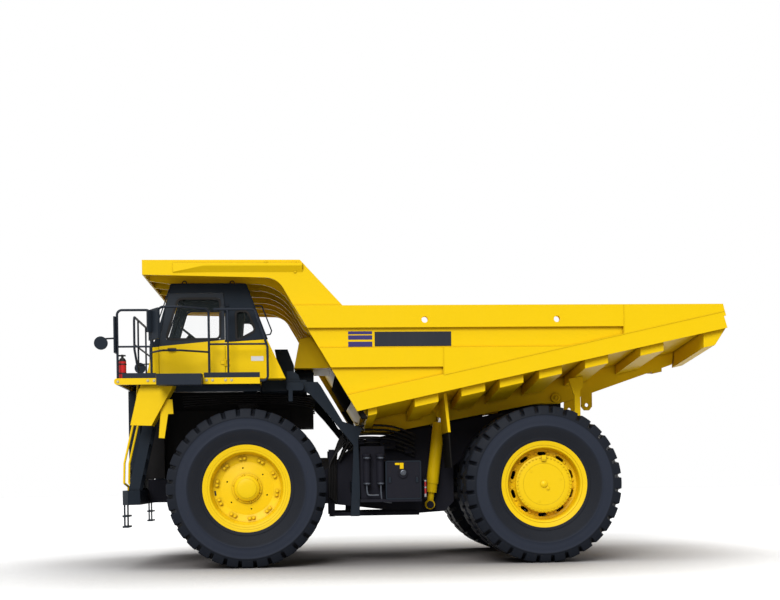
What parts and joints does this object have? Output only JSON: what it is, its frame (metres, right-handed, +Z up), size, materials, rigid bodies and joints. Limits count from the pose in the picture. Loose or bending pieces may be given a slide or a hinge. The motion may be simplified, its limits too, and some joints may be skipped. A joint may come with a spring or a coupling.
{
  "type": "mining dump truck",
  "caption": "Rigid mining dump truck with a tipping body under a canopy, twin rear tyres, steered front wheels and a side cab on a railed deck.",
  "frame": {"origin": "on the ground under the centre of the bounding box", "axes": "+X towards the front of the truck, +Y towards its left side, +Z up"},
  "size_m": [10.457, 6.8698, 5.04],
  "materials": {
    "body_yellow": "satin",
    "frame_slate": "satin",
    "rail_slate": "satin",
    "rim_yellow": "satin",
    "tyre_rubber": "matte",
    "cast_dark": "rough",
    "hoist_rod_chrome": "polished",
    "window_glass": "clear",
    "mirror_black": "matte",
    "interior_black": "matte",
    "pad_rubber": "matte",
    "extinguisher_red": "gloss",
    "lamp_white": "gloss"
  },
  "bodies": {
    "chassis": {"main_frame": "frame_slate", "front_bumper": "frame_slate", "radiator_grille": "frame_slate", "headlamps": "lamp_white", "powertrain": "cast_dark", "deck": "body_yellow", "deck_braces": "frame_slate", "handrails": "rail_slate", "access_ladders": "frame_slate", "cab_lower": "body_yellow", "cab_upper": "frame_slate", "cab_glass": "window_glass", "cab_interior": "interior_black", "mirrors": "mirror_black", "fire_extinguisher": "extinguisher_red", "service_rack": "frame_slate", "fuel_tank": "frame_slate", "front_suspension": "cast_dark", "rear_axle": "cast_dark"},
    "knuckle_left": {"steering_knuckle_left": "cast_dark"},
    "front_wheel_left": {"front_tyre_left": "tyre_rubber", "front_rim_left": "rim_yellow"},
    "rear_wheels_left": {"rear_tyres_left": "tyre_rubber", "rear_rims_left": "rim_yellow"},
    "hoist_barrel_left": {"hoist_barrel_left": "body_yellow"},
    "hoist_stage_left": {"hoist_stage_left": "hoist_rod_chrome"},
    "hoist_rod_left": {"hoist_rod_left": "hoist_rod_chrome"},
    "knuckle_right": {"steering_knuckle_right": "cast_dark"},
    "front_wheel_right": {"front_tyre_right": "tyre_rubber", "front_rim_right": "rim_yellow"},
    "rear_wheels_right": {"rear_tyres_right": "tyre_rubber", "rear_rims_right": "rim_yellow"},
    "hoist_barrel_right": {"hoist_barrel_right": "body_yellow"},
    "hoist_stage_right": {"hoist_stage_right": "hoist_rod_chrome"},
    "hoist_rod_right": {"hoist_rod_right": "hoist_rod_chrome"},
    "door": {"cab_door": "body_yellow", "door_glass": "window_glass"},
    "bed": {"dump_floor": "body_yellow", "dump_side_left": "body_yellow", "dump_side_right": "body_yellow", "dump_front_wall": "body_yellow", "rock_ejectors": "frame_slate", "mud_guard_plates": "body_yellow", "mud_flaps": "pad_rubber", "body_pads": "pad_rubber"}
  },
  "joints": [
    {"name": "bed_tilt", "type": "hinge", "parent": "chassis", "child": "bed", "pos_m": [-2.6645, 0, 2.851], "axis": [0, -1, 0], "range_deg": [0, 48]},
    {"name": "steer_left", "type": "hinge", "parent": "chassis", "child": "knuckle_left", "pos_m": [2.7975, 1.48, 1.315], "axis": [0, 0, 1], "range_deg": [-39, 39]},
    {"name": "front_spin_left", "type": "hinge", "parent": "knuckle_left", "child": "front_wheel_left", "pos_m": [2.7975, 2.1625, 1.315], "axis": [0, 1, 0], "continuous": true},
    {"name": "rear_spin_left", "type": "hinge", "parent": "chassis", "child": "rear_wheels_left", "pos_m": [-2.1525, 1.75, 1.315], "axis": [0, 1, 0], "continuous": true},
    {"name": "hoist_swing_left", "type": "hinge", "parent": "chassis", "child": "hoist_barrel_left", "pos_m": [-0.3575, 1, 0.973], "axis": [0, -1, 0], "range_deg": [0, 5.18]},
    {"name": "hoist_stage_slide_left", "type": "slide", "parent": "hoist_barrel_left", "child": "hoist_stage_left", "axis": [-0.1238, 0, 0.9923], "range_m": [0, 0.8555]},
    {"name": "hoist_rod_slide_left", "type": "slide", "parent": "hoist_stage_left", "child": "hoist_rod_left", "axis": [-0.1238, 0, 0.9923], "range_m": [0, 0.8555]},
    {"name": "steer_right", "type": "hinge", "parent": "chassis", "child": "knuckle_right", "pos_m": [2.7975, -1.48, 1.315], "axis": [0, 0, 1], "range_deg": [-39, 39]},
    {"name": "front_spin_right", "type": "hinge", "parent": "knuckle_right", "child": "front_wheel_right", "pos_m": [2.7975, -2.1625, 1.315], "axis": [0, 1, 0], "continuous": true},
    {"name": "rear_spin_right", "type": "hinge", "parent": "chassis", "child": "rear_wheels_right", "pos_m": [-2.1525, -1.75, 1.315], "axis": [0, 1, 0], "continuous": true},
    {"name": "hoist_swing_right", "type": "hinge", "parent": "chassis", "child": "hoist_barrel_right", "pos_m": [-0.3575, -1, 0.973], "axis": [0, -1, 0], "range_deg": [0, 5.18]},
    {"name": "hoist_stage_slide_right", "type": "slide", "parent": "hoist_barrel_right", "child": "hoist_stage_right", "axis": [-0.1238, 0, 0.9923], "range_m": [0, 0.8555]},
    {"name": "hoist_rod_slide_right", "type": "slide", "parent": "hoist_stage_right", "child": "hoist_rod_right", "axis": [-0.1238, 0, 0.9923], "range_m": [0, 0.8555]},
    {"name": "door_hinge", "type": "hinge", "parent": "chassis", "child": "door", "pos_m": [3.1285, 2.264, 3.9], "axis": [0, 0, 1], "range_deg": [0, 30]}
  ],
  "couplings": [
    {"joint": "hoist_swing_left", "follows": "bed_tilt", "ratio": 0.10768},
    {"joint": "hoist_stage_slide_left", "follows": "bed_tilt", "m_per_rad": 1.021},
    {"joint": "hoist_rod_slide_left", "follows": "bed_tilt", "m_per_rad": 1.021},
    {"joint": "hoist_swing_right", "follows": "bed_tilt", "ratio": 0.10768},
    {"joint": "hoist_stage_slide_right", "follows": "bed_tilt", "m_per_rad": 1.021},
    {"joint": "hoist_rod_slide_right", "follows": "bed_tilt", "m_per_rad": 1.021},
    {"joint": "steer_right", "follows": "steer_left", "ratio": 1}
  ]
}
